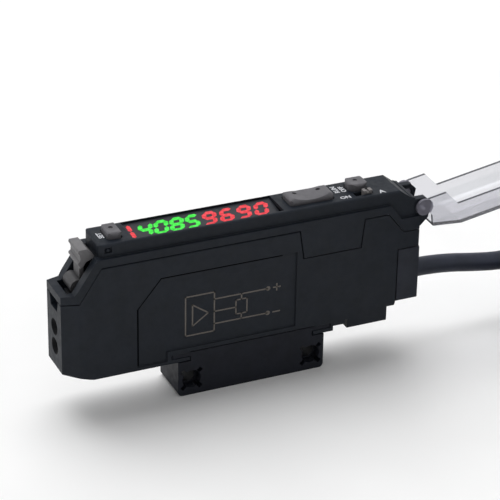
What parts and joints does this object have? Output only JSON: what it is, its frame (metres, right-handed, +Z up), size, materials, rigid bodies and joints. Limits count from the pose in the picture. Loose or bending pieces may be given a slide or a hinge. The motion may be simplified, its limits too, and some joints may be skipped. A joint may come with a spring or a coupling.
{
  "type": "fibre optic sensor amplifier",
  "caption": "Slim rail-mount fibre optic sensor amplifier with digital display, keys, fibre clamp lever, hinged clear dust cover, clip-on mounting bracket and coiled cable.",
  "frame": {"origin": "centre of the bracket's base face, on the surface that the amplifier stands on", "axes": "+X along the body from the fibre end to the cable end, +Y across the width away from the label side, +Z up to the key panel"},
  "size_m": [0.1534, 0.0654, 0.0431],
  "materials": {
    "case_black": "fine spark-eroded black moulding",
    "window_smoke": "smoked clear pane",
    "display_dark": "dark display face",
    "board_green": "coated circuit board",
    "chip_black": "moulded component",
    "key_grey": "soft warm grey key",
    "slide_grey": "grey slide knob",
    "switch_metal": "plated switch frame",
    "cover_clear": "clear moulded cover",
    "lever_grey": "warm grey lever",
    "pin_steel": "steel pin",
    "clamp_white": "natural acetal",
    "can_clear": "clear epoxy lamp",
    "gland_black": "soft black strain relief",
    "cable_black": "matte black sheath",
    "tie_black": "black strap",
    "lead_brown": "brown insulation",
    "lead_blue": "blue insulation",
    "bracket_black": "black moulded bracket"
  },
  "bodies": {
    "housing": {"lower_case": "case_black", "upper_cover": "case_black", "display_window": "window_smoke", "display_module": "display_dark", "display_board": "board_green", "main_board": "board_green", "board_connector": "chip_black", "controller_chip": "chip_black", "regulator": "chip_black", "set_switch": "switch_metal", "up_switch": "switch_metal", "down_switch": "switch_metal", "mode_switch": "switch_metal", "slide_switch": "switch_metal", "lever_pin": "pin_steel", "optical_holder": "chip_black", "light_emitter": "can_clear", "light_receiver": "chip_black", "cable_gland": "gland_black", "cable": "cable_black", "cable_coil": "cable_black", "coil_tie": "tie_black", "cable_tail": "cable_black", "lead_brown": "lead_brown", "lead_blue": "lead_blue", "lead_black": "cable_black", "mounting_bracket": "bracket_black"},
    "cover": {"dust_cover": "cover_clear"},
    "lever": {"clamp_lever": "lever_grey"},
    "clamp": {"fibre_clamp": "clamp_white"},
    "set_key": {"set_button": "key_grey"},
    "rocker_key": {"rocker_button": "key_grey"},
    "mode_key": {"mode_button": "key_grey"},
    "slide_key": {"select_slider": "slide_grey"}
  },
  "joints": [
    {"name": "cover_hinge", "type": "hinge", "parent": "housing", "child": "cover", "pos_m": [0.038, 0, 0.0326], "axis": [0, -1, 0], "range_deg": [-5, 170]},
    {"name": "lever_hinge", "type": "hinge", "parent": "housing", "child": "lever", "pos_m": [-0.0357, 0, 0.02735], "axis": [0, -1, 0], "range_deg": [0, 60]},
    {"name": "clamp_slide", "type": "slide", "parent": "housing", "child": "clamp", "axis": [0, 0, -1], "range_m": [0, 0.0005]},
    {"name": "set_press", "type": "slide", "parent": "housing", "child": "set_key", "axis": [0, 0, -1], "range_m": [0, 0.0004], "stiffness_N_per_m": 800},
    {"name": "rocker_tilt", "type": "hinge", "parent": "housing", "child": "rocker_key", "pos_m": [0.0139, 0, 0.0355], "axis": [0, 1, 0], "range_deg": [-3, 3], "stiffness_Nm_per_rad": 0.02},
    {"name": "mode_press", "type": "slide", "parent": "housing", "child": "mode_key", "axis": [0, 0, -1], "range_m": [0, 0.0004], "stiffness_N_per_m": 800},
    {"name": "select_slide", "type": "slide", "parent": "housing", "child": "slide_key", "axis": [-1, 0, 0], "range_m": [0, 0.0016]}
  ],
  "couplings": [
    {"joint": "lever_hinge", "follows": "clamp_slide", "rad_per_m": 2094.3}
  ]
}
